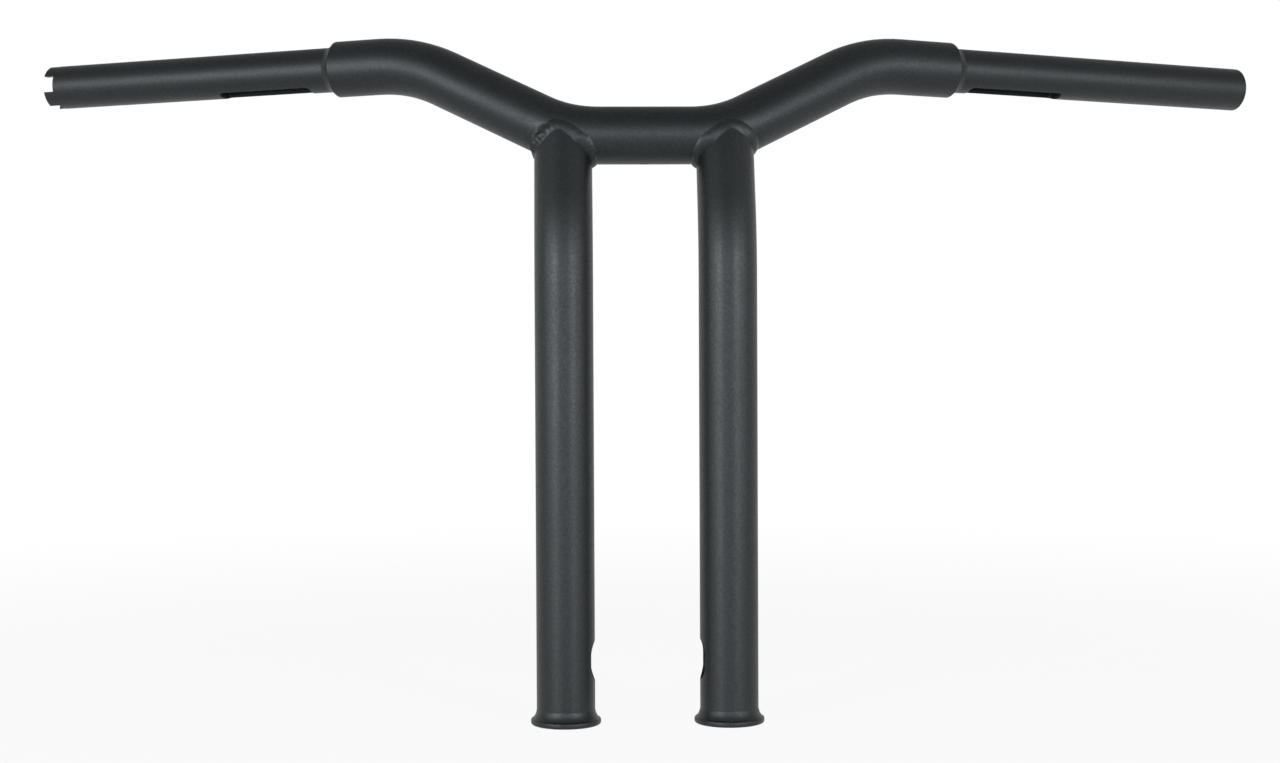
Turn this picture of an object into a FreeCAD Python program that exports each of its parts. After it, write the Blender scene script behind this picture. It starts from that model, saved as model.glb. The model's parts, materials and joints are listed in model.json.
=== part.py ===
"""Welded T-bar motorcycle handlebar, in millimetres.

The origin is midway between the risers' feet, on the plane of the clamp they are bolted to. +Z runs up the
straight lower risers, +X towards the clutch side and +Y back towards the rider.
"""
import math
import os

import FreeCAD
import Part
from FreeCAD import Vector

# Tube stock: the grip tubes slip into the bore of the thicker tube, which makes the crossbar and the risers
GRIP_OD = 25.4
GRIP_WALL = 3.05
GRIP_SLIP = 0.125
TUBE_WALL = 3.05
END_BREAK = 0.5

# Risers: straight lower part, then one bend back to the crossbar, with a small gap for the weld at the cope
RISER_SPACING = 88.9
RISER_BEND_HEIGHT = 262.0
RISER_BEND_RADIUS = 110.0
RISER_PULLBACK = 20.0
COPE_GAP = 0.5
RISER_HOLE_WIDTH = 15.9
RISER_HOLE_HEIGHT = 22.2
RISER_HOLE_CENTRE = 34.5

# Crossbar: corner to corner lengths of its centre line, with angles above the horizontal and swept back
CROSSBAR_HEIGHT = 320.5
CENTRE_HALF_LENGTH = 43.0
SLOPE_LENGTH = 104.5
SLOPE_RISE = 25.0
SLOPE_SWEEP = 25.5
INNER_BEND_RADIUS = 57.0
OUTER_BEND_RADIUS = 92.0
END_RISE = -0.75
END_SWEEP = 21.0
THROTTLE_END_LENGTH = 47.7
CLUTCH_END_LENGTH = 54.7
VENT_DIAMETER = 4.8
WIRE_PASSAGE_DIAMETER = 15.9

# Grip tubes: lengths outside the crossbar, room left inside before its bend, the wiring slot below and the
# notches of the throttle sensor
THROTTLE_GRIP_LENGTH = 190.5
CLUTCH_GRIP_LENGTH = 205.0
GRIP_STOP_GAP = 1.3
WIRING_SLOT_WIDTH = 12.7
WIRING_SLOT_LENGTH = 60.0
WIRING_SLOT_OFFSET = 13.0
SENSOR_NOTCH_COUNT = 4
SENSOR_NOTCH_WIDTH = 9.5
SENSOR_NOTCH_DEPTH = 6.35
SENSOR_NOTCH_TURN = 5.0

# Feet: turned bungs with a flange under the riser and a tapped hole for the clamp bolt
FLANGE_OVERHANG = 3.175
FLANGE_THICKNESS = 3.4
FLANGE_ROUND = 1.2
SPIGOT_LENGTH = 17.0
SPIGOT_SLIP = 0.125
SPIGOT_BREAK = 1.0
TAP_DRILL_DIAMETER = 10.72

# Welds
RISER_WELD_FACE = 4.6
RISER_WELD_CROWN = 0.7
RISER_WELD_SECTIONS = 40
WELD_SEAT = 0.02
GRIP_WELD_LEG = 4.8
GRIP_WELD_ROOT = 0.4
FOOT_WELD_LEG = 4.8
FOOT_WELD_ROOT = 0.4
FILLET_SAG = 0.35

TUBE_RADIUS = GRIP_OD / 2 + GRIP_SLIP + TUBE_WALL
TUBE_BORE_RADIUS = TUBE_RADIUS - TUBE_WALL
GRIP_RADIUS = GRIP_OD / 2
FLANGE_RADIUS = TUBE_RADIUS + FLANGE_OVERHANG
AXIS_X = Vector(1, 0, 0)
AXIS_Z = Vector(0, 0, 1)


def heading(rise, sweep):
    """Unit vector towards +X, raised and swept back by angles in degrees."""
    rise, sweep = math.radians(rise), math.radians(sweep)
    return Vector(math.cos(rise) * math.cos(sweep), math.cos(rise) * math.sin(sweep), math.sin(rise))


def mirrored(point):
    return Vector(-point.x, point.y, point.z)


def bent_path(points, radii):
    """Wire of straight runs joined by tangent arcs at the inner points."""
    edges = []
    start = points[0]
    for before, corner, after, radius in zip(points, points[1:], points[2:], radii):
        back = (before - corner).normalize()
        on = (after - corner).normalize()
        half_turn = (math.pi - back.getAngle(on)) / 2
        setback = radius * math.tan(half_turn)
        inward = (back + on).normalize()
        middle = corner + inward * (radius / math.cos(half_turn) - radius)
        edges.append(Part.LineSegment(start, corner + back * setback).toShape())
        edges.append(Part.Arc(corner + back * setback, middle, corner + on * setback).toShape())
        start = corner + on * setback
    edges.append(Part.LineSegment(start, points[-1]).toShape())
    return Part.Wire(edges)


def rod(path, radius):
    """Round solid bar along a path."""
    first = path.OrderedEdges[0]
    tangent = first.tangentAt(first.FirstParameter)
    circle = Part.Wire(Part.Circle(path.OrderedVertexes[0].Point, tangent, radius).toShape())
    return path.makePipe(Part.Face(circle))


def tube(path, radius, bore_radius):
    return rod(path, radius).cut(rod(path, bore_radius))


def rectangle(centre, along, across, length, width):
    a, b = along * (length / 2), across * (width / 2)
    corners = [centre - a - b, centre + a - b, centre + a + b, centre - a + b]
    return Part.Face(Part.makePolygon(corners + corners[:1]))


def obround(centre, along, across, length, width):
    """Flat face with straight sides and round ends."""
    run, side, tip = along * ((length - width) / 2), across * (width / 2), along * (length / 2)
    edges = [
        Part.LineSegment(centre - run - side, centre + run - side),
        Part.Arc(centre + run - side, centre + tip, centre + run + side),
        Part.LineSegment(centre + run + side, centre - run + side),
        Part.Arc(centre - run + side, centre - tip, centre - run - side),
    ]
    return Part.Face(Part.Wire([edge.toShape() for edge in edges]))


def fillet_ring(base, direction, tube_radius, seat_radius, leg, root_depth):
    """Weld bead round a tube that stands on a flat seat, with a slightly hollow face and its root in the tube."""
    seat, toe = Vector(seat_radius, 0, 0), Vector(tube_radius, 0, leg)
    low, high = Vector(tube_radius - root_depth, 0, 0), Vector(tube_radius - root_depth, 0, leg)
    middle = (seat + toe) * 0.5
    hollow = middle - Vector(leg, 0, seat_radius - tube_radius).normalize() * FILLET_SAG
    edges = [
        Part.LineSegment(low, seat),
        Part.Arc(seat, hollow, toe),
        Part.LineSegment(toe, high),
        Part.LineSegment(high, low),
    ]
    ring = Part.Face(Part.Wire([edge.toShape() for edge in edges])).revolve(Vector(), AXIS_Z, 360)
    ring.Placement = FreeCAD.Placement(base, FreeCAD.Rotation(AXIS_Z, direction))
    return ring


def round_rims(shape, centres, size):
    """Round the circular edges about some points."""
    circles = [edge for edge in shape.Edges if isinstance(edge.Curve, Part.Circle)]
    rims = [edge for edge in circles if any(edge.Curve.Center.isEqual(point, 1e-6) for point in centres)]
    return shape.makeFillet(size, rims)


# The crossbar's first bend starts this far from the middle and carries its centre line along one slanted line
slope = heading(SLOPE_RISE, SLOPE_SWEEP)
end_run = heading(END_RISE, END_SWEEP)
inner_turn = slope.getAngle(AXIS_X)
bend_normal = (slope - AXIS_X * slope.x).normalize()
bend_start = CENTRE_HALF_LENGTH - INNER_BEND_RADIUS * math.tan(inner_turn / 2)
bend_end = bend_start + INNER_BEND_RADIUS * math.sin(inner_turn)


def crossbar_shift(x):
    """How far the first bend has carried the centre line at a distance x from the middle."""
    if x <= bend_start:
        return 0.0
    if x <= bend_end:
        return INNER_BEND_RADIUS - math.sqrt(INNER_BEND_RADIUS ** 2 - (x - bend_start) ** 2)
    return INNER_BEND_RADIUS * (1 - math.cos(inner_turn)) + (x - bend_end) * math.tan(inner_turn)


# The riser's axis meets the crossbar's centre line at the joint
pullback = math.radians(RISER_PULLBACK)
riser_top = Vector(0, math.sin(pullback), math.cos(pullback))
riser_front = Vector(0, -math.cos(pullback), math.sin(pullback))
joint_shift = bend_normal * crossbar_shift(RISER_SPACING / 2)
joint_height = CROSSBAR_HEIGHT + joint_shift.z
joint = Vector(RISER_SPACING / 2, (joint_height - RISER_BEND_HEIGHT) * math.tan(pullback), joint_height)

crossbar_middle = Vector(0, joint.y - joint_shift.y, CROSSBAR_HEIGHT)
inner_corner = crossbar_middle + AXIS_X * CENTRE_HALF_LENGTH
outer_corner = inner_corner + slope * SLOPE_LENGTH
clutch_end = outer_corner + end_run * CLUTCH_END_LENGTH
throttle_end = mirrored(outer_corner + end_run * THROTTLE_END_LENGTH)

crossbar_path = bent_path(
    [throttle_end, mirrored(outer_corner), mirrored(inner_corner), inner_corner, outer_corner, clutch_end],
    [OUTER_BEND_RADIUS, INNER_BEND_RADIUS, INNER_BEND_RADIUS, OUTER_BEND_RADIUS],
)
crossbar_rod = rod(crossbar_path, TUBE_RADIUS)


def make_crossbar():
    bar = round_rims(crossbar_rod, [throttle_end, clutch_end], END_BREAK)
    bar = bar.cut(rod(crossbar_path, TUBE_BORE_RADIUS))
    bar = bar.cut(Part.makeCylinder(VENT_DIAMETER / 2, 2 * TUBE_RADIUS, crossbar_middle, -AXIS_Z))
    for point in (joint, mirrored(joint)):
        bar = bar.cut(Part.makeCylinder(WIRE_PASSAGE_DIAMETER / 2, 2 * TUBE_RADIUS, point, -riser_top))
    return bar


riser_path = bent_path(
    [
        Vector(joint.x, 0, FLANGE_THICKNESS),
        Vector(joint.x, 0, RISER_BEND_HEIGHT),
        joint + riser_top * (2 * TUBE_RADIUS),
    ],
    [RISER_BEND_RADIUS],
)
riser_rod = rod(riser_path, TUBE_RADIUS)


def make_riser():
    """Clutch side riser: its top is coped to sit round the crossbar, and a wiring hole faces the other riser."""
    coped = tube(riser_path, TUBE_RADIUS, TUBE_BORE_RADIUS).cut(rod(crossbar_path, TUBE_RADIUS + COPE_GAP))
    riser = min(coped.Solids, key=lambda solid: solid.CenterOfMass.z)
    centre = Vector(joint.x, 0, RISER_HOLE_CENTRE)
    hole = obround(centre, AXIS_Z, Vector(0, 1, 0), RISER_HOLE_HEIGHT, RISER_HOLE_WIDTH)
    return riser.cut(hole.extrude(-AXIS_X * (2 * TUBE_RADIUS))).cut(make_foot_weld())


def bisect(outside, inside, reach):
    """Parameter between two values where reach() passes through zero."""
    for _ in range(40):
        middle = (outside + inside) / 2
        if reach(middle) > 0:
            outside = middle
        else:
            inside = middle
    return (outside + inside) / 2


def crossbar_foot(point):
    """Nearest point of the crossbar's centre line."""
    return crossbar_path.distToShape(Part.Vertex(point))[1][0][0]


def above_crossbar(point):
    return (point - crossbar_foot(point)).Length - TUBE_RADIUS


def above_riser(point):
    return point.distanceToLine(joint, riser_top) - TUBE_RADIUS


def toe(seam, along, outward, distance, above):
    """Point at a distance from the seam, in the plane of two directions, seated on a tube's surface."""
    def at(angle):
        return seam + along * (distance * math.cos(angle)) + outward * (distance * math.sin(angle))

    return at(bisect(math.pi / 4, -math.pi / 4, lambda angle: above(at(angle)) - WELD_SEAT))


def weld_section(turn):
    """Corners of the bead's cross-section at an angle round the riser.

    Its crowned face has the same width all round, between a toe on the riser and a toe on the crossbar. Its back
    follows both tubes and closes the gap between the cope's edge and the crossbar.
    """
    riser_normal = AXIS_X * math.cos(turn) + riser_front * math.sin(turn)
    line = joint + riser_normal * (TUBE_RADIUS + WELD_SEAT)
    climb = bisect(-3 * TUBE_RADIUS, 0, lambda s: above_crossbar(line + riser_top * s) - COPE_GAP)
    edge = line + riser_top * climb
    bar_normal = (edge - crossbar_foot(edge)).normalize()
    root = edge - bar_normal * (COPE_GAP - WELD_SEAT)
    seam_run = riser_normal.cross(bar_normal).normalize()
    down_riser = seam_run.cross(riser_normal)
    down_riser = down_riser if down_riser * bar_normal > 0 else -down_riser
    along_bar = seam_run.cross(bar_normal)
    along_bar = along_bar if along_bar * riser_normal > 0 else -along_bar
    reach = RISER_WELD_FACE / (2 * math.sin(down_riser.getAngle(along_bar) / 2))
    riser_toe = toe(edge, down_riser, riser_normal, reach, above_riser)
    riser_back = toe(edge, down_riser, riser_normal, reach / 2, above_riser)
    bar_toe = toe(root, along_bar, bar_normal, reach, above_crossbar)
    bar_back = toe(root, along_bar, bar_normal, reach / 2, above_crossbar)
    outward = (riser_normal + bar_normal).normalize()
    middle = (riser_toe + bar_toe) * 0.5
    crown = edge + outward * math.hypot((middle - edge) * outward, RISER_WELD_CROWN)
    face = Part.Arc(riser_toe, crown, bar_toe).toShape().discretize(5)
    return [root, edge, riser_back] + face + [bar_back]


def make_riser_weld():
    """Saddle-shaped bead round the clutch side riser's cope: bands ruled between closed curves."""
    count = RISER_WELD_SECTIONS
    sections = [weld_section(2 * math.pi * k / count) for k in range(count)]
    curves = []
    for points in zip(*sections):
        curve = Part.BSplineCurve()
        curve.interpolate(Points=list(points), PeriodicFlag=True, Parameters=list(range(count + 1)))
        curves.append(curve.toShape())
    bands = [Part.makeRuledSurface(one, other) for one, other in zip(curves, curves[1:] + curves[:1])]
    shell = Part.Shell(bands)
    shell.sewShape()
    return Part.Solid(shell)


def make_foot():
    """Clutch side foot, standing on the clamp plane."""
    base = Vector(joint.x, 0, 0)
    top = FLANGE_THICKNESS + SPIGOT_LENGTH
    spigot = TUBE_BORE_RADIUS - SPIGOT_SLIP
    flange = Part.makeCylinder(FLANGE_RADIUS, FLANGE_THICKNESS, base)
    flange = round_rims(flange, [base, base + AXIS_Z * FLANGE_THICKNESS], FLANGE_ROUND)
    body = flange.fuse(Part.makeCylinder(spigot, top - SPIGOT_BREAK, base))
    body = body.fuse(Part.makeCone(spigot, spigot - SPIGOT_BREAK, SPIGOT_BREAK, base + AXIS_Z * (top - SPIGOT_BREAK)))
    return body.cut(Part.makeCylinder(TAP_DRILL_DIAMETER / 2, top, base)).removeSplitter()


def make_foot_weld():
    base = Vector(joint.x, 0, FLANGE_THICKNESS)
    return fillet_ring(base, AXIS_Z, TUBE_RADIUS, FLANGE_RADIUS - FLANGE_ROUND, FOOT_WELD_LEG, FOOT_WELD_ROOT)


def make_grip_tube(end, run, end_length, length):
    """Straight tube slipped into the crossbar's end as far as its bend, with a wiring slot along its underside."""
    insert = end_length - OUTER_BEND_RADIUS * math.tan(slope.getAngle(end_run) / 2) - GRIP_STOP_GAP
    start = end - run * insert
    grip = Part.makeCylinder(GRIP_RADIUS, insert + length, start, run)
    grip = grip.cut(Part.makeCylinder(GRIP_RADIUS - GRIP_WALL, insert + length, start, run))
    grip = grip.cut(make_grip_weld(end, run))
    across = run.cross(AXIS_Z).normalize()
    down = across.cross(run)
    down = down if down.z < 0 else -down
    centre = end + run * (WIRING_SLOT_OFFSET + WIRING_SLOT_LENGTH / 2)
    slot = obround(centre, run, across, WIRING_SLOT_LENGTH, WIRING_SLOT_WIDTH)
    return grip.cut(slot.extrude(down * GRIP_OD))


def cut_sensor_notches(grip, tip, run):
    """Notches in the tube's outer end, spaced evenly from one that faces forward."""
    forward = Vector(0, -1, 0) + run * run.y
    for k in range(SENSOR_NOTCH_COUNT):
        turn = FreeCAD.Rotation(run, SENSOR_NOTCH_TURN + 360.0 * k / SENSOR_NOTCH_COUNT)
        outward = turn.multVec(forward.normalize())
        mouth = rectangle(tip, run, run.cross(outward), 2 * SENSOR_NOTCH_DEPTH, SENSOR_NOTCH_WIDTH)
        grip = grip.cut(mouth.extrude(outward * GRIP_OD))
    return grip


def make_grip_weld(end, run):
    return fillet_ring(end, run, GRIP_RADIUS, TUBE_RADIUS - END_BREAK, GRIP_WELD_LEG, GRIP_WELD_ROOT)


def mirror_image(shape):
    return shape.mirror(Vector(), AXIS_X)


throttle_run = mirrored(end_run)
throttle_grip = make_grip_tube(throttle_end, throttle_run, THROTTLE_END_LENGTH, THROTTLE_GRIP_LENGTH)
throttle_tip = throttle_end + throttle_run * THROTTLE_GRIP_LENGTH

solids = {
    "crossbar": make_crossbar(),
    "throttle_side_grip_tube": cut_sensor_notches(throttle_grip, throttle_tip, throttle_run),
    "clutch_side_grip_tube": make_grip_tube(clutch_end, end_run, CLUTCH_END_LENGTH, CLUTCH_GRIP_LENGTH),
    "throttle_side_grip_weld": make_grip_weld(throttle_end, throttle_run),
    "clutch_side_grip_weld": make_grip_weld(clutch_end, end_run),
}
for name, shape in (
    ("riser", make_riser()),
    ("riser_weld", make_riser_weld()),
    ("foot", make_foot()),
    ("foot_weld", make_foot_weld()),
):
    solids["clutch_side_" + name] = shape
    solids["throttle_side_" + name] = mirror_image(shape)

os.makedirs("parts", exist_ok=True)
for name, shape in solids.items():
    shape.exportStep("parts/" + name + ".step")
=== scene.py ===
"""Looks of the welded T-bar handlebar: satin black coat, rippled welds, slots and tapped feet.

Lengths are in metres, and angles in degrees unless they are turned into radians.
"""
import json
import math

import bmesh
import bpy
from mathutils import Matrix, Vector, noise
from mathutils.bvhtree import BVHTree


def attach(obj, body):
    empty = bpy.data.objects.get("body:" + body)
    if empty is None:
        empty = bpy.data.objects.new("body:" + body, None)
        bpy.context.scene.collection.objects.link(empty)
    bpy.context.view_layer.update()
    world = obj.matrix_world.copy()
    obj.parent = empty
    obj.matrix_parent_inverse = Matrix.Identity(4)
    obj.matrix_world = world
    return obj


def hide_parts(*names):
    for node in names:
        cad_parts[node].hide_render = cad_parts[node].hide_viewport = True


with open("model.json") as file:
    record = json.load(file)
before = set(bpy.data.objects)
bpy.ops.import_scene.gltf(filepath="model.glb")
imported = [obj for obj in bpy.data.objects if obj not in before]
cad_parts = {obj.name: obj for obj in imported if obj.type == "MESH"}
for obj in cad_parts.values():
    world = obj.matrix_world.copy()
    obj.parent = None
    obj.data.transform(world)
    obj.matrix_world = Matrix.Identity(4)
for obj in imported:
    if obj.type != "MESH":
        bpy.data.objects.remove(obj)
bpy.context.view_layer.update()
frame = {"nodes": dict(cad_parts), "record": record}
scene = bpy.context.scene
scene.view_settings.view_transform = "Standard"

# Sizes that the looks share with the solids
TUBE_RADIUS = 0.015875
RISER_OFFSET = 0.04445
RISER_PULLBACK = math.radians(20.0)
JOINT = Vector((RISER_OFFSET, 0.022210, 0.323023))
GRIP_RADIUS = 0.0127
GRIP_BORE_RADIUS = 0.00965
GRIP_WELD_SEAT = 0.015375
GRIP_WELD_LEG = 0.0048
GRIP_WELD_ROOT = 0.0004
SENSOR_NOTCH_WIDTH = 0.0095
SENSOR_NOTCH_DEPTH = 0.00635
SENSOR_NOTCH_TURN = math.radians(5.0)
FLANGE_RADIUS = 0.01905
FLANGE_THICKNESS = 0.0034
FLANGE_ROUND = 0.0012
SPIGOT_RADIUS = 0.0127
SPIGOT_TOP = 0.0204
SPIGOT_BREAK = 0.001

# Thread of the feet; flat and flank are shares of its pitch
THREAD_MINOR = 0.00536
THREAD_MAJOR = 0.00635
THREAD_PITCH = 0.0254 / 13
THREAD_HALF_FLAT = 0.125
THREAD_FLANK = 0.3125

# Wiring slots as the photograph shows them: turned a little forward, with tight corners
WIRING_SLOT_WIDTH = 0.0127
WIRING_SLOT_CORNER = 0.0025
WIRING_SLOT_TURN = math.radians(6.0)

# Beads round the grip tubes: ripples bow back in the middle of the face and wander with the lumps
GRIP_WELD_SAG = 0.00035
GRIP_WELD_LUMPS_PER_RIPPLE = 2
GRIP_WELD_RIPPLES = 56
GRIP_WELD_BOW = 2.2
GRIP_WELD_WANDER = 1.5
GRIP_WELD_NOISE_RADIUS = 3
GRIP_WELD_NOISE_HEIGHT = 7.0

# Beads along the copes; rounding and smoothing count the columns on either side that are averaged
RISER_WELD_SHY = 0.0001
RISER_WELD_RAY_START = 0.05
RISER_WELD_ROUNDING = 27
RISER_WELD_SMOOTHING = 4
RISER_WELD_NORMAL_SMOOTHING = 6
RISER_WELD_SINK = 0.00012
RISER_WELD_ROOT = 0.001
RISER_WELD_LUMPS_PER_RIPPLE = 10
RISER_WELD_RIPPLES = 40
RISER_WELD_BOW = 2.0
RISER_WELD_WANDER = 2.4
RISER_WELD_NOISE_SCALE = 230.0
# The face flows into the tubes up to the first angle from the front, and bulges from the second on
RISER_WELD_FLOW = (12, 40)

# Cope beads by degrees from the front, where -90 is the outer side and 90 the inner side:
# degrees, leg on the riser, leg on the crossbar, bulge, share of the ripples and lumps
SMOOTH_RUN = (
    (-180, 0.0030, 0.0030, 0.0003, 0.3),
    (-90, 0.0034, 0.0036, 0.0005, 1.0),
    (-45, 0.0030, 0.0044, 0.0006, 1.0),
    (-15, 0.0036, 0.0036, 0.0005, 0.3),
    (0, 0.0044, 0.0044, 0.00045, 0.1),
    (15, 0.0034, 0.0056, 0.0005, 0.1),
    (38, 0.0018, 0.0064, 0.0008, 0.2),
    (58, 0.0020, 0.0054, 0.0007, 0.2),
    (78, 0.0028, 0.0034, 0.0004, 0.2),
    (110, 0.0034, 0.0030, 0.0003, 0.3),
    (180, 0.0030, 0.0030, 0.0003, 0.3),
)
LUMPY_RUN = (
    (-180, 0.0030, 0.0030, 0.0003, 0.3),
    (-95, 0.0050, 0.0040, 0.0006, 1.0),
    (-50, 0.0054, 0.0046, 0.0007, 1.0),
    (-18, 0.0042, 0.0036, 0.0005, 0.4),
    (0, 0.0044, 0.0044, 0.00045, 0.1),
    (15, 0.0034, 0.0056, 0.0005, 0.1),
    (38, 0.0018, 0.0064, 0.0008, 0.1),
    (58, 0.0020, 0.0054, 0.0007, 0.1),
    (78, 0.0028, 0.0034, 0.0004, 0.1),
    (110, 0.0034, 0.0030, 0.0003, 0.3),
    (180, 0.0030, 0.0030, 0.0003, 0.3),
)

# Side, sign of its x, run and lumps of the cope bead, ripple of the grip bead, and the ends of the
# wiring slot from the crossbar's end
SIDES = (
    ("throttle", -1, LUMPY_RUN, 0.0016, 0.00003, (0.0160, 0.0745)),
    ("clutch", 1, SMOOTH_RUN, 0.0002, 0.00009, (0.0115, 0.0745)),
)

# Powder coat: scale and detail of its noises, and what their values give: the place and tone of the
# colour's two ends, the roughness between two values, and the strength and distance of the bumps
COAT_SPECULAR = 0.39
COAT_TINT = (0.87, 0.96, 1.0, 1.0)
NOISE_ROUGHNESS = 0.6
SPECKLE_NOISE = (850.0, 2.0)
PEEL_NOISE = (520.0, 2.0)
CLOUD_NOISE = (14.0, 3.0)
COAT_TONES = ((0.40, (0.0006, 0.0008, 0.0010, 1.0)), (0.66, (0.0078, 0.0094, 0.0106, 1.0)))
CLOUD_VALUES, CLOUD_ROUGHNESS = (0.3, 0.7), (0.41, 0.47)
SPECKLE_VALUES, SPECKLE_ROUGHNESS = (0.36, 0.64), (0.04, -0.04)
SPECKLE_BUMP = (0.12, 0.0002)
PEEL_BUMP = (0.06, 0.0004)
WELD_GRAIN = 1.4

# Edges sharper than these stay sharp
FOOT_CREASE = 40
WELD_CREASE = 60
TUBE_CREASE = 30

# Studio: white surround with an unlit ceiling, floor that turns to plain white, and softboxes
AMBIENT = 0.25
CEILING_LEVEL = 0.4
CEILING_ELEVATIONS = (11, 48)
FLOOR_REACH = 6.0
FLOOR_COLOUR = (0.8, 0.8, 0.8, 1)
FLOOR_ROUGHNESS = 0.9
FLOOR_WHITE_DISTANCES = (0.35, 1.3)
FLOOR_WHITE_SHARES = (0.92, 1.0)
LAMP_DISTANCE = 1.9
LAMP_TARGET = Vector((0, 0, 0.25))
# Name, azimuth from straight ahead, height, width, length and power in watts
SOFTBOXES = (
    ("left_softbox", -37, 0.40, 0.46, 0.90, 21),
    ("right_softbox", 32, 0.40, 0.46, 0.90, 17),
    ("front_softbox", -3, 0.46, 0.50, 0.60, 5.2),
    ("far_left_softbox", -62, 0.50, 0.46, 0.70, 6.5),
    ("far_right_softbox", 58, 0.50, 0.46, 0.70, 5.6),
)

# Camera at the photograph's viewpoint
IMAGE_WIDTH = 1280
FOCAL_PIXELS = 2073.3
SENSOR_WIDTH = 36.0
EYE = Vector((-0.04351, -1.12262, 0.21032))
YAW, PITCH, ROLL = math.radians(2.043), math.radians(-1.26), math.radians(-0.258)


def node(tree, kind, place, **values):
    """New shader node with some of its values set."""
    made = tree.nodes.new(kind)
    made.location = place
    for name, value in values.items():
        setattr(made, name, value)
    return made


def combine(tree, place, operation, first, second):
    """Output of a Math node that takes two outputs."""
    made = node(tree, "ShaderNodeMath", place, operation=operation)
    tree.links.new(first, made.inputs[0])
    tree.links.new(second, made.inputs[1])
    return made.outputs[0]


def remap(tree, place, source, start, stop, **values):
    """Output of a Map Range node that takes one range of an output to another."""
    made = node(tree, "ShaderNodeMapRange", place, **values)
    for name, value in zip(("From Min", "From Max", "To Min", "To Max"), (*start, *stop)):
        made.inputs[name].default_value = value
    tree.links.new(source, made.inputs["Value"])
    return made.outputs["Result"]


def powder_coat(name, grain=1.0):
    """Satin black powder coat: faint orange peel, fine speckle and slightly uneven gloss."""
    material = bpy.data.materials.new(name)
    material.use_nodes = True
    tree = material.node_tree
    link = tree.links.new
    shader = tree.nodes["Principled BSDF"]
    shader.inputs["Specular IOR Level"].default_value = COAT_SPECULAR
    shader.inputs["Specular Tint"].default_value = COAT_TINT
    coords = node(tree, "ShaderNodeTexCoord", (-1500, 0))

    def grainy(y, scale, detail):
        made = node(tree, "ShaderNodeTexNoise", (-1200, y))
        made.inputs["Scale"].default_value = scale
        made.inputs["Detail"].default_value = detail
        made.inputs["Roughness"].default_value = NOISE_ROUGHNESS
        link(coords.outputs["Object"], made.inputs["Vector"])
        return made.outputs["Fac"]

    def bump(height, x, strength, distance):
        made = node(tree, "ShaderNodeBump", (x, -400))
        made.inputs["Strength"].default_value = strength * grain
        made.inputs["Distance"].default_value = distance
        link(height, made.inputs["Height"])
        return made

    speckle = grainy(300, *SPECKLE_NOISE)
    peel = grainy(0, *PEEL_NOISE)
    cloud = grainy(-300, *CLOUD_NOISE)
    colour = node(tree, "ShaderNodeValToRGB", (-800, 300))
    for element, (place, tone) in zip(colour.color_ramp.elements, COAT_TONES):
        element.position = place
        element.color = tone
    link(speckle, colour.inputs["Fac"])
    link(colour.outputs["Color"], shader.inputs["Base Color"])
    spread = remap(tree, (-500, -100), cloud, CLOUD_VALUES, CLOUD_ROUGHNESS)
    sparkle = remap(tree, (-500, 200), speckle, SPECKLE_VALUES, SPECKLE_ROUGHNESS)
    link(combine(tree, (-250, 0), "ADD", spread, sparkle), shader.inputs["Roughness"])
    fine = bump(speckle, -500, *SPECKLE_BUMP)
    coarse = bump(peel, -250, *PEEL_BUMP)
    link(fine.outputs["Normal"], coarse.inputs["Normal"])
    link(coarse.outputs["Normal"], shader.inputs["Normal"])
    return material


def stand_in(name, mesh, replaced, material, crease):
    """Piece that takes a CAD node's place, smooth but for edges sharper than an angle."""
    mesh.materials.clear()
    mesh.materials.append(material)
    mesh.shade_smooth()
    mesh.set_sharp_from_angle(angle=math.radians(crease))
    made = bpy.data.objects.new(name, mesh)
    scene.collection.objects.link(made)
    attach(made, "root")
    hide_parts(replaced)


def smooth_step(low, high, value):
    """Share from 0 to 1 of the way between two values, with a soft start and end."""
    share = min(max((value - low) / (high - low), 0.0), 1.0)
    return share * share * (3 - 2 * share)


def closed_mesh(name, points, faces):
    """Mesh whose faces all look outward."""
    mesh = bpy.data.meshes.new(name)
    mesh.from_pydata(points, [], faces)
    made = bmesh.new()
    made.from_mesh(mesh)
    bmesh.ops.recalc_face_normals(made, faces=made.faces)
    made.to_mesh(mesh)
    made.free()
    return mesh


def closed_grid(name, rows):
    """Mesh of rings that closes both ways; each row is a ring of points."""
    count, columns = len(rows), len(rows[0])
    faces = []
    for i in range(count):
        below, above = i * columns, (i + 1) % count * columns
        for j in range(columns):
            k = (j + 1) % columns
            faces.append((below + j, below + k, above + k, above + j))
    return closed_mesh(name, [point for row in rows for point in row], faces)


def prism(name, outline, start, stop):
    """Block with an outline's section between two shifts."""
    count = len(outline)
    faces = [tuple(range(count)), tuple(range(2 * count - 1, count - 1, -1))]
    for k in range(count):
        after = (k + 1) % count
        faces.append((after, k, count + k, count + after))
    return closed_mesh(name, [p + start for p in outline] + [p + stop for p in outline], faces)


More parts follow.
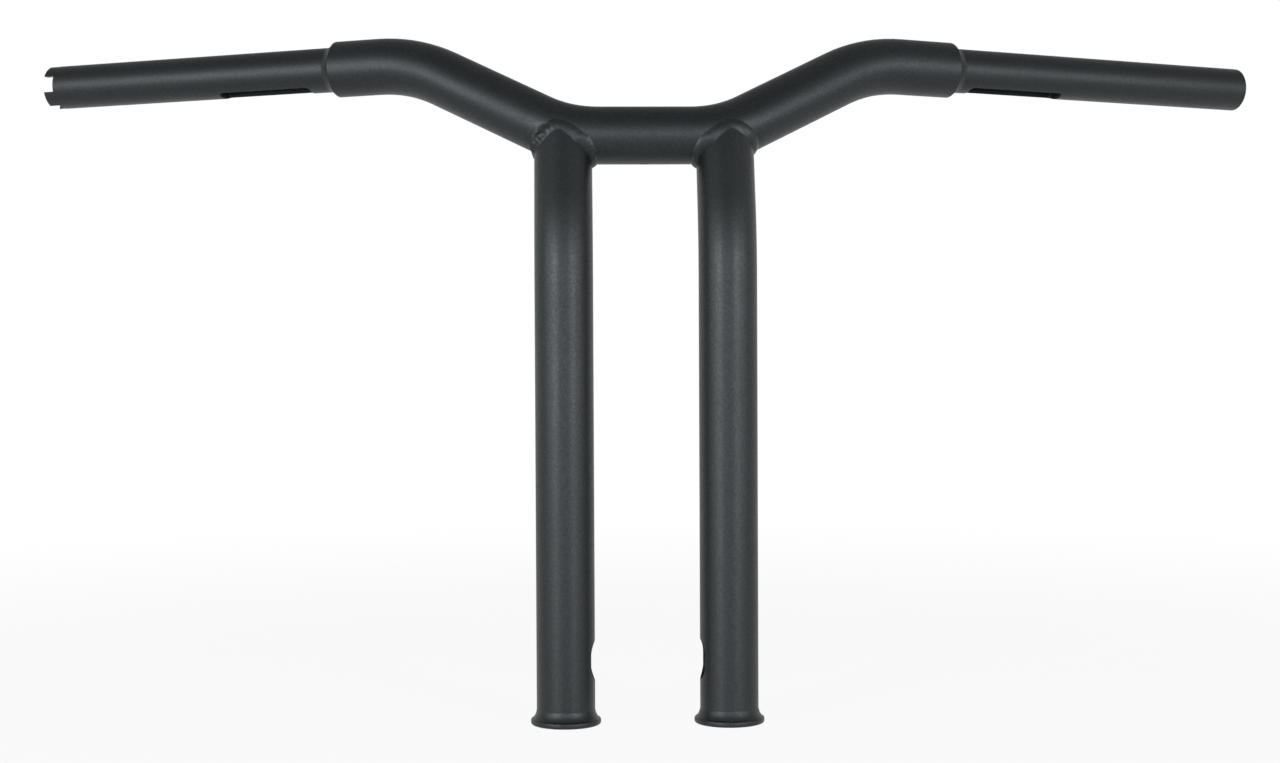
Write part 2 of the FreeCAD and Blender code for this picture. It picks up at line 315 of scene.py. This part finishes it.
def foot_mesh(name, centre):
    """Turned foot: a flange, a spigot and a thread that starts and ends gently in its bore."""
    columns, steps_per_turn, round_steps = 72, 10, 6
    steps = round(SPIGOT_TOP / THREAD_PITCH * steps_per_turn)
    around = [2 * math.pi * k / columns for k in range(columns)]

    def bore(angle, height):
        phase = (height / THREAD_PITCH - angle / (2 * math.pi)) % 1.0
        groove = (THREAD_HALF_FLAT + THREAD_FLANK - abs(phase - 0.5)) / THREAD_FLANK
        groove = min(max(groove, 0.0), 1.0)
        fade = smooth_step(0, THREAD_PITCH, height)
        fade *= smooth_step(0, THREAD_PITCH, SPIGOT_TOP - height)
        return THREAD_MINOR + (THREAD_MAJOR - THREAD_MINOR) * groove * fade

    def at(angle, radius, height):
        return centre + Vector((radius * math.cos(angle), radius * math.sin(angle), height))

    rows = []
    for k in range(steps + 1):
        height = SPIGOT_TOP * k / steps
        rows.append([at(a, bore(a, height), height) for a in around])
    outline = [
        (SPIGOT_RADIUS - SPIGOT_BREAK, SPIGOT_TOP),
        (SPIGOT_RADIUS, SPIGOT_TOP - SPIGOT_BREAK),
        (SPIGOT_RADIUS, FLANGE_THICKNESS),
    ]
    rim = FLANGE_RADIUS - FLANGE_ROUND
    for middle, start in ((FLANGE_THICKNESS - FLANGE_ROUND, 90), (FLANGE_ROUND, 0)):
        for k in range(round_steps + 1):
            angle = math.radians(start - 90 / round_steps * k)
            outline.append((
                rim + FLANGE_ROUND * math.cos(angle), middle + FLANGE_ROUND * math.sin(angle)
            ))
    rows += [[at(a, radius, height) for a in around] for radius, height in outline]
    return closed_grid(name, rows)


def grip_weld_mesh(name, base, axis, ripple):
    """Fillet bead round a grip tube, with a hollow face and the ripples of its runs."""
    columns, across = 420, 10
    lumps = ripple * GRIP_WELD_LUMPS_PER_RIPPLE
    around = [2 * math.pi * j / columns for j in range(columns)]
    side = axis.orthogonal().normalized()
    other = axis.cross(side)
    seat, toe = Vector((GRIP_WELD_SEAT, 0)), Vector((GRIP_RADIUS, GRIP_WELD_LEG))
    outward = Vector((GRIP_WELD_LEG, GRIP_WELD_SEAT - GRIP_RADIUS)).normalized()

    def at(angle, radius, height):
        return base + axis * height + (side * math.cos(angle) + other * math.sin(angle)) * radius

    rows = []
    for k in range(across + 1):
        share = k / across
        swell = 4 * share * (1 - share)
        row = []
        for angle in around:
            lump = noise.noise(Vector((
                GRIP_WELD_NOISE_RADIUS * math.cos(angle),
                GRIP_WELD_NOISE_RADIUS * math.sin(angle),
                GRIP_WELD_NOISE_HEIGHT,
            )))
            phase = angle * GRIP_WELD_RIPPLES - GRIP_WELD_BOW * swell + GRIP_WELD_WANDER * lump
            rise = swell * (-GRIP_WELD_SAG + lumps * lump + ripple * math.sin(phase))
            point = seat.lerp(toe, share) + outward * rise
            row.append(at(angle, point.x, point.y))
        rows.append(row)
    for height in (GRIP_WELD_LEG, 0):
        rows.append([at(angle, GRIP_RADIUS - GRIP_WELD_ROOT, height) for angle in around])
    return closed_grid(name, rows)


def rounded_rectangle(centre, along, across, length, width, corner):
    """Outline of a rectangle with round corners, in the plane of two directions."""
    corner_steps = 8
    points = []
    for x, y, start in ((1, 1, 0), (-1, 1, 90), (-1, -1, 180), (1, -1, 270)):
        for k in range(corner_steps + 1):
            angle = math.radians(start + 90 / corner_steps * k)
            reach = x * (length / 2 - corner) + corner * math.cos(angle)
            spread = y * (width / 2 - corner) + corner * math.sin(angle)
            points.append(centre + along * reach + across * spread)
    return points


def cut_away(mesh, cutters):
    """Mesh that is left when each cutter is taken from another mesh."""
    body = bpy.data.objects.new("body", mesh)
    helpers = [body]
    for cutter in cutters:
        tool = bpy.data.objects.new("cutter", cutter)
        helpers.append(tool)
        change = body.modifiers.new("cut", "BOOLEAN")
        change.operation = "DIFFERENCE"
        change.solver = "EXACT"
        change.object = tool
    for helper in helpers:
        scene.collection.objects.link(helper)
    evaluated = body.evaluated_get(bpy.context.evaluated_depsgraph_get())
    left = bpy.data.meshes.new_from_object(evaluated)
    for helper in helpers:
        bpy.data.objects.remove(helper)
    return left


def grip_tube_mesh(name, end, axis, start, stop, slot, notched):
    """Grip tube with a wiring slot turned a little forward, and notches if it is the throttle's."""
    columns = 128
    side = axis.cross(Vector((0, 0, 1))).normalized()
    forward = side if side.y < 0 else -side
    up = forward.cross(axis)
    up = up if up.z > 0 else -up
    around = [2 * math.pi * (k + 0.5) / columns for k in range(columns)]
    rows = []
    for radius, height in (
        (GRIP_RADIUS, start), (GRIP_RADIUS, stop),
        (GRIP_BORE_RADIUS, stop), (GRIP_BORE_RADIUS, start),
    ):
        rows.append([
            end + axis * height + (forward * math.cos(a) + up * math.sin(a)) * radius
            for a in around
        ])
    down = forward * math.sin(WIRING_SLOT_TURN) - up * math.cos(WIRING_SLOT_TURN)
    inner, outer = slot
    outline = rounded_rectangle(
        end + axis * (inner + outer) / 2, axis, axis.cross(down),
        outer - inner, WIRING_SLOT_WIDTH, WIRING_SLOT_CORNER,
    )
    cutters = [prism(name + "_slot", outline, Vector(), down * 2 * GRIP_RADIUS)]
    if notched:
        # Each of two crossing blocks cuts a pair of notches
        for k in range(2):
            outward = Matrix.Rotation(SENSOR_NOTCH_TURN + math.pi / 2 * k, 3, axis) @ forward
            across = axis.cross(outward)
            mouth = [
                end + axis * (stop + x * SENSOR_NOTCH_DEPTH) + across * (y * SENSOR_NOTCH_WIDTH / 2)
                for x, y in ((1, 1), (-1, 1), (-1, -1), (1, -1))
            ]
            reach = outward * 2 * GRIP_RADIUS
            cutters.append(prism(name + "_notch", mouth, -reach, reach))
    made = cut_away(closed_grid(name + "_blank", rows), cutters)
    made.name = name
    return made


def surface_of(name):
    """Search tree of a CAD node's surface."""
    mesh = frame["nodes"][name].data
    return BVHTree.FromPolygons(
        [vertex.co for vertex in mesh.vertices], [face.vertices for face in mesh.polygons]
    )


def riser_weld_mesh(name, side, sign, run, lumps):
    """Bead along the line where a riser meets the crossbar; its legs change along the run."""
    columns, across = 480, 12
    ripple = lumps / RISER_WELD_LUMPS_PER_RIPPLE
    bar, riser = surface_of("crossbar"), surface_of(side + "_riser")
    joint = Vector((sign * JOINT.x, JOINT.y, JOINT.z))
    axis = Vector((0, math.sin(RISER_PULLBACK), math.cos(RISER_PULLBACK)))
    front = Vector((0, -math.cos(RISER_PULLBACK), math.sin(RISER_PULLBACK)))
    outer = Vector((sign, 0, 0))
    radials, hits, normals = [], [], []
    for j in range(columns):
        turn = 2 * math.pi * j / columns
        radial = outer * math.cos(turn) + front * math.sin(turn)
        below = joint + radial * (TUBE_RADIUS - RISER_WELD_SHY) - axis * RISER_WELD_RAY_START
        hit, normal = bar.ray_cast(below, axis)[:2]
        radials.append(radial)
        hits.append(hit + radial * RISER_WELD_SHY)
        normals.append(normal)

    def mean(values, j, reach):
        total = Vector()
        for k in range(j - reach, j + reach + 1):
            total += values[k % columns]
        return total / (2 * reach + 1)

    def run_at(degrees):
        for before, after in zip(run, run[1:]):
            if before[0] <= degrees <= after[0]:
                share = smooth_step(before[0], after[0], degrees)
                return [low + (high - low) * share for low, high in zip(before[1:], after[1:])]

    def toe_on(surface, point):
        place, facing = surface.find_nearest(point)[:2]
        return place - facing * RISER_WELD_SINK

    meets = [mean(hits, j, RISER_WELD_SMOOTHING) for j in range(columns)]
    rounded = [(mean(hits, j, RISER_WELD_ROUNDING) - joint).dot(axis) for j in range(columns)]
    rows = [[] for _ in range(across + 2)]
    for j, radial in enumerate(radials):
        degrees = (360.0 * j / columns + 90) % 360 - 180
        riser_leg, bar_leg, bulge, rough = run_at(degrees)
        after, before = meets[(j + RISER_WELD_SMOOTHING) % columns], meets[j - RISER_WELD_SMOOTHING]
        tangent = (after - before).normalized()
        normal = mean(normals, j, RISER_WELD_NORMAL_SMOOTHING).normalized()
        away = normal.cross(tangent).normalized()
        away = -away if away.dot(radial + axis / 2) < 0 else away
        low_toe = toe_on(riser, joint + radial * TUBE_RADIUS + axis * (rounded[j] - riser_leg))
        high_toe = toe_on(bar, meets[j] + away * bar_leg)
        lift = (radial + normal).normalized()
        flow = 2 - smooth_step(*RISER_WELD_FLOW, abs(degrees))
        for k in range(across + 1):
            share = k / across
            swell = (4 * share * (1 - share)) ** flow
            point = low_toe.lerp(high_toe, share)
            lump = noise.noise(point * RISER_WELD_NOISE_SCALE)
            phase = math.radians(degrees) * RISER_WELD_RIPPLES
            wave = math.sin(phase + RISER_WELD_BOW * swell + RISER_WELD_WANDER * lump)
            rows[k].append(point + lift * swell * (bulge + rough * (ripple * wave + lumps * lump)))
        rows[across + 1].append(meets[j] - lift * RISER_WELD_ROOT)
    return closed_grid(name, rows)


def seen_directly(tree):
    """1 for rays that see the background from the camera, in a reflection or through glass."""
    path = node(tree, "ShaderNodeLightPath", (-600, 300))
    camera_ray, glossy_ray, transmission_ray = (
        path.outputs[f"Is {kind} Ray"] for kind in ("Camera", "Glossy", "Transmission")
    )
    both = combine(tree, (-400, 300), "MAXIMUM", camera_ray, glossy_ray)
    return combine(tree, (-200, 300), "MAXIMUM", both, transmission_ray)


def make_world():
    """White surround that darkens towards a studio's unlit ceiling."""
    world = bpy.data.worlds.new("studio")
    scene.world = world
    world.use_nodes = True
    tree = world.node_tree
    sky = tree.nodes["Background"]
    sky.inputs["Color"].default_value = (1, 1, 1, 1)
    level = remap(tree, (0, 300), seen_directly(tree), (0.0, 1.0), (AMBIENT, 1.0))
    coords = node(tree, "ShaderNodeTexCoord", (-600, 0))
    height = node(tree, "ShaderNodeSeparateXYZ", (-400, 0))
    tree.links.new(coords.outputs["Generated"], height.inputs[0])
    heights = [math.sin(math.radians(elevation)) for elevation in CEILING_ELEVATIONS]
    ceiling = remap(
        tree, (-200, 0), height.outputs["Z"], heights, (1.0, CEILING_LEVEL),
        interpolation_type="SMOOTHSTEP",
    )
    strength = combine(tree, (200, 200), "MULTIPLY", level, ceiling)
    tree.links.new(strength, sky.inputs["Strength"])


def make_floor():
    """Pale floor that keeps the shadow near the object and turns to plain white further out."""
    mesh = bpy.data.meshes.new("floor")
    signs = ((-1, -1), (1, -1), (1, 1), (-1, 1))
    corners = [(x * FLOOR_REACH, y * FLOOR_REACH, 0) for x, y in signs]
    mesh.from_pydata(corners, [], [(0, 1, 2, 3)])
    floor = bpy.data.objects.new("floor", mesh)
    scene.collection.objects.link(floor)
    material = bpy.data.materials.new("pale_floor")
    material.use_nodes = True
    tree = material.node_tree
    shader = tree.nodes["Principled BSDF"]
    shader.inputs["Base Color"].default_value = FLOOR_COLOUR
    shader.inputs["Roughness"].default_value = FLOOR_ROUGHNESS
    shader.inputs["Specular IOR Level"].default_value = 0.0
    glow = node(tree, "ShaderNodeEmission", (0, -300))
    coords = node(tree, "ShaderNodeTexCoord", (-1000, 600))
    distance = node(tree, "ShaderNodeVectorMath", (-800, 600), operation="LENGTH")
    tree.links.new(coords.outputs["Object"], distance.inputs[0])
    share = remap(
        tree, (-600, 600), distance.outputs["Value"], FLOOR_WHITE_DISTANCES, FLOOR_WHITE_SHARES,
        interpolation_type="SMOOTHSTEP",
    )
    white = combine(tree, (100, 300), "MULTIPLY", seen_directly(tree), share)
    mixed = node(tree, "ShaderNodeMixShader", (300, 0))
    tree.links.new(white, mixed.inputs["Fac"])
    tree.links.new(shader.outputs["BSDF"], mixed.inputs[1])
    tree.links.new(glow.outputs["Emission"], mixed.inputs[2])
    tree.links.new(mixed.outputs["Shader"], tree.nodes["Material Output"].inputs["Surface"])
    mesh.materials.append(material)


def softbox(name, azimuth, height, width, length, power):
    """Area lamp at an azimuth from straight ahead, turned to the middle of the object."""
    lamp = bpy.data.lights.new(name, "AREA")
    lamp.shape = "RECTANGLE"
    lamp.size = width
    lamp.size_y = length
    lamp.energy = power
    made = bpy.data.objects.new(name, lamp)
    turn = math.radians(azimuth)
    made.location = (math.sin(turn) * LAMP_DISTANCE, -math.cos(turn) * LAMP_DISTANCE, height)
    made.rotation_euler = (LAMP_TARGET - made.location).to_track_quat("-Z", "Y").to_euler()
    scene.collection.objects.link(made)


def make_camera():
    """Camera at the photograph's viewpoint, turned by yaw, pitch and roll from looking along +Y."""
    ahead = Vector((
        math.sin(YAW) * math.cos(PITCH), math.cos(YAW) * math.cos(PITCH), math.sin(PITCH)
    ))
    level_right = Vector((math.cos(YAW), -math.sin(YAW), 0))
    level_up = level_right.cross(ahead)
    right = level_right * math.cos(ROLL) + level_up * math.sin(ROLL)
    up = level_up * math.cos(ROLL) - level_right * math.sin(ROLL)
    lens = bpy.data.cameras.new("camera")
    lens.sensor_fit = "HORIZONTAL"
    lens.sensor_width = SENSOR_WIDTH
    lens.lens = SENSOR_WIDTH * FOCAL_PIXELS / IMAGE_WIDTH
    camera = bpy.data.objects.new("camera", lens)
    turned = Matrix((right, up, -ahead)).transposed().to_4x4()
    camera.matrix_world = Matrix.Translation(EYE) @ turned
    scene.collection.objects.link(camera)
    scene.camera = camera


coat = powder_coat("black_powder_coat")
weld_coat = powder_coat("black_powder_coat_on_welds", WELD_GRAIN)
for piece in frame["nodes"].values():
    piece.data.materials.clear()
    piece.data.materials.append(coat)

mounts = {mount["name"]: mount for mount in frame["record"]["mounts"]}
for hand, sign, run, lumps, ripple, slot in SIDES:
    side = hand + "_side"
    foot = foot_mesh(side + "_threaded_foot", Vector((sign * RISER_OFFSET, 0, 0)))
    stand_in(side + "_threaded_foot", foot, side + "_foot", coat, FOOT_CREASE)
    bead = riser_weld_mesh(side + "_riser_bead", side, sign, run, lumps)
    stand_in(side + "_riser_bead", bead, side + "_riser_weld", weld_coat, WELD_CREASE)

    # The grip's mount gives its axis, and the CAD bead the place where the crossbar ends
    grip = mounts[hand + "_grip"]
    axis = Vector(grip["axis"]).normalized()
    middle = Vector(grip["pos_m"])
    ring = frame["nodes"][side + "_grip_weld"].data
    end = middle + axis * min((vertex.co - middle).dot(axis) for vertex in ring.vertices)
    bead = grip_weld_mesh(side + "_grip_bead", end, axis, ripple)
    stand_in(side + "_grip_bead", bead, side + "_grip_weld", weld_coat, WELD_CREASE)
    solid = frame["nodes"][side + "_grip_tube"].data
    along = [(vertex.co - end).dot(axis) for vertex in solid.vertices]
    notched = hand == "throttle"
    tube = grip_tube_mesh(
        side + "_slotted_grip", end, axis, min(along), max(along), slot, notched
    )
    stand_in(side + "_slotted_grip", tube, side + "_grip_tube", coat, TUBE_CREASE)

make_world()
make_floor()
for lamp_row in SOFTBOXES:
    softbox(*lamp_row)
make_camera()
